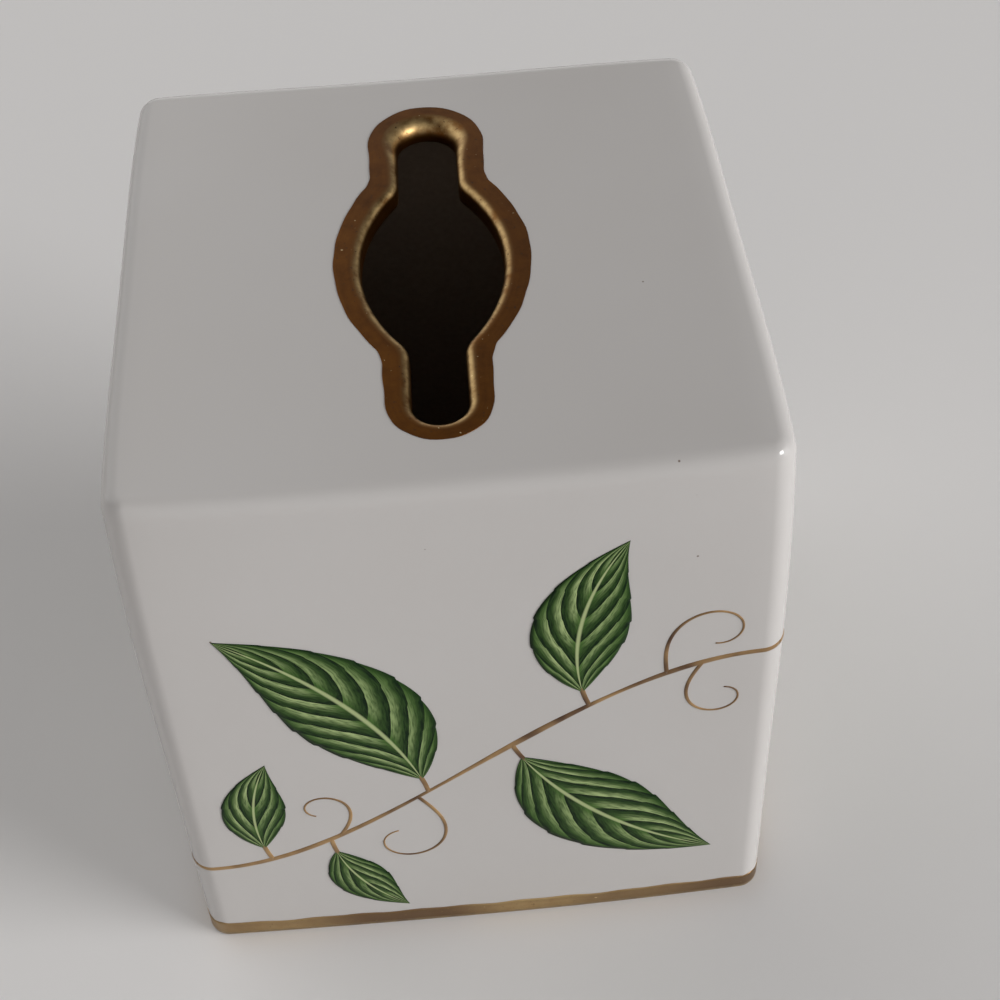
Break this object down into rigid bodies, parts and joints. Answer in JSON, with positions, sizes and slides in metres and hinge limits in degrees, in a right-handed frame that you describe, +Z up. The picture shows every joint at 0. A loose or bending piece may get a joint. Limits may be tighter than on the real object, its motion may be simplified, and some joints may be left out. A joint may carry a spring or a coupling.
{
  "type": "tissue box cover",
  "caption": "Square ceramic cover that drops over a boutique tissue carton, with a lobed, gilt-edged opening in its top and painted foliage on its sides.",
  "frame": {"origin": "middle of the foot, on the surface that the cover stands on", "axes": "+Z up, the front at -Y, +X to the right as seen from the front; the long way of the opening runs along Y"},
  "size_m": [0.1322, 0.1322, 0.1502],
  "materials": {
    "clay": "matte",
    "glaze": "gloss",
    "gold_lustre": "satin",
    "leaf_enamel": "gloss",
    "vine_enamel": "gloss"
  },
  "bodies": {
    "root": {"ceramic_body": "clay", "glaze_coat": "glaze", "opening_gilding": "gold_lustre", "foot_gilding": "gold_lustre", "front_vine": "vine_enamel", "front_leaf_1": "leaf_enamel", "front_leaf_2": "leaf_enamel", "front_leaf_3": "leaf_enamel", "front_leaf_4": "leaf_enamel", "front_leaf_5": "leaf_enamel", "right_vine": "vine_enamel", "right_leaf_1": "leaf_enamel", "right_leaf_2": "leaf_enamel", "right_leaf_3": "leaf_enamel", "right_leaf_4": "leaf_enamel", "right_leaf_5": "leaf_enamel", "back_vine": "vine_enamel", "back_leaf_1": "leaf_enamel", "back_leaf_2": "leaf_enamel", "back_leaf_3": "leaf_enamel", "back_leaf_4": "leaf_enamel", "back_leaf_5": "leaf_enamel", "left_vine": "vine_enamel", "left_leaf_1": "leaf_enamel", "left_leaf_2": "leaf_enamel", "left_leaf_3": "leaf_enamel", "left_leaf_4": "leaf_enamel", "left_leaf_5": "leaf_enamel"}
  },
  "joints": []
}
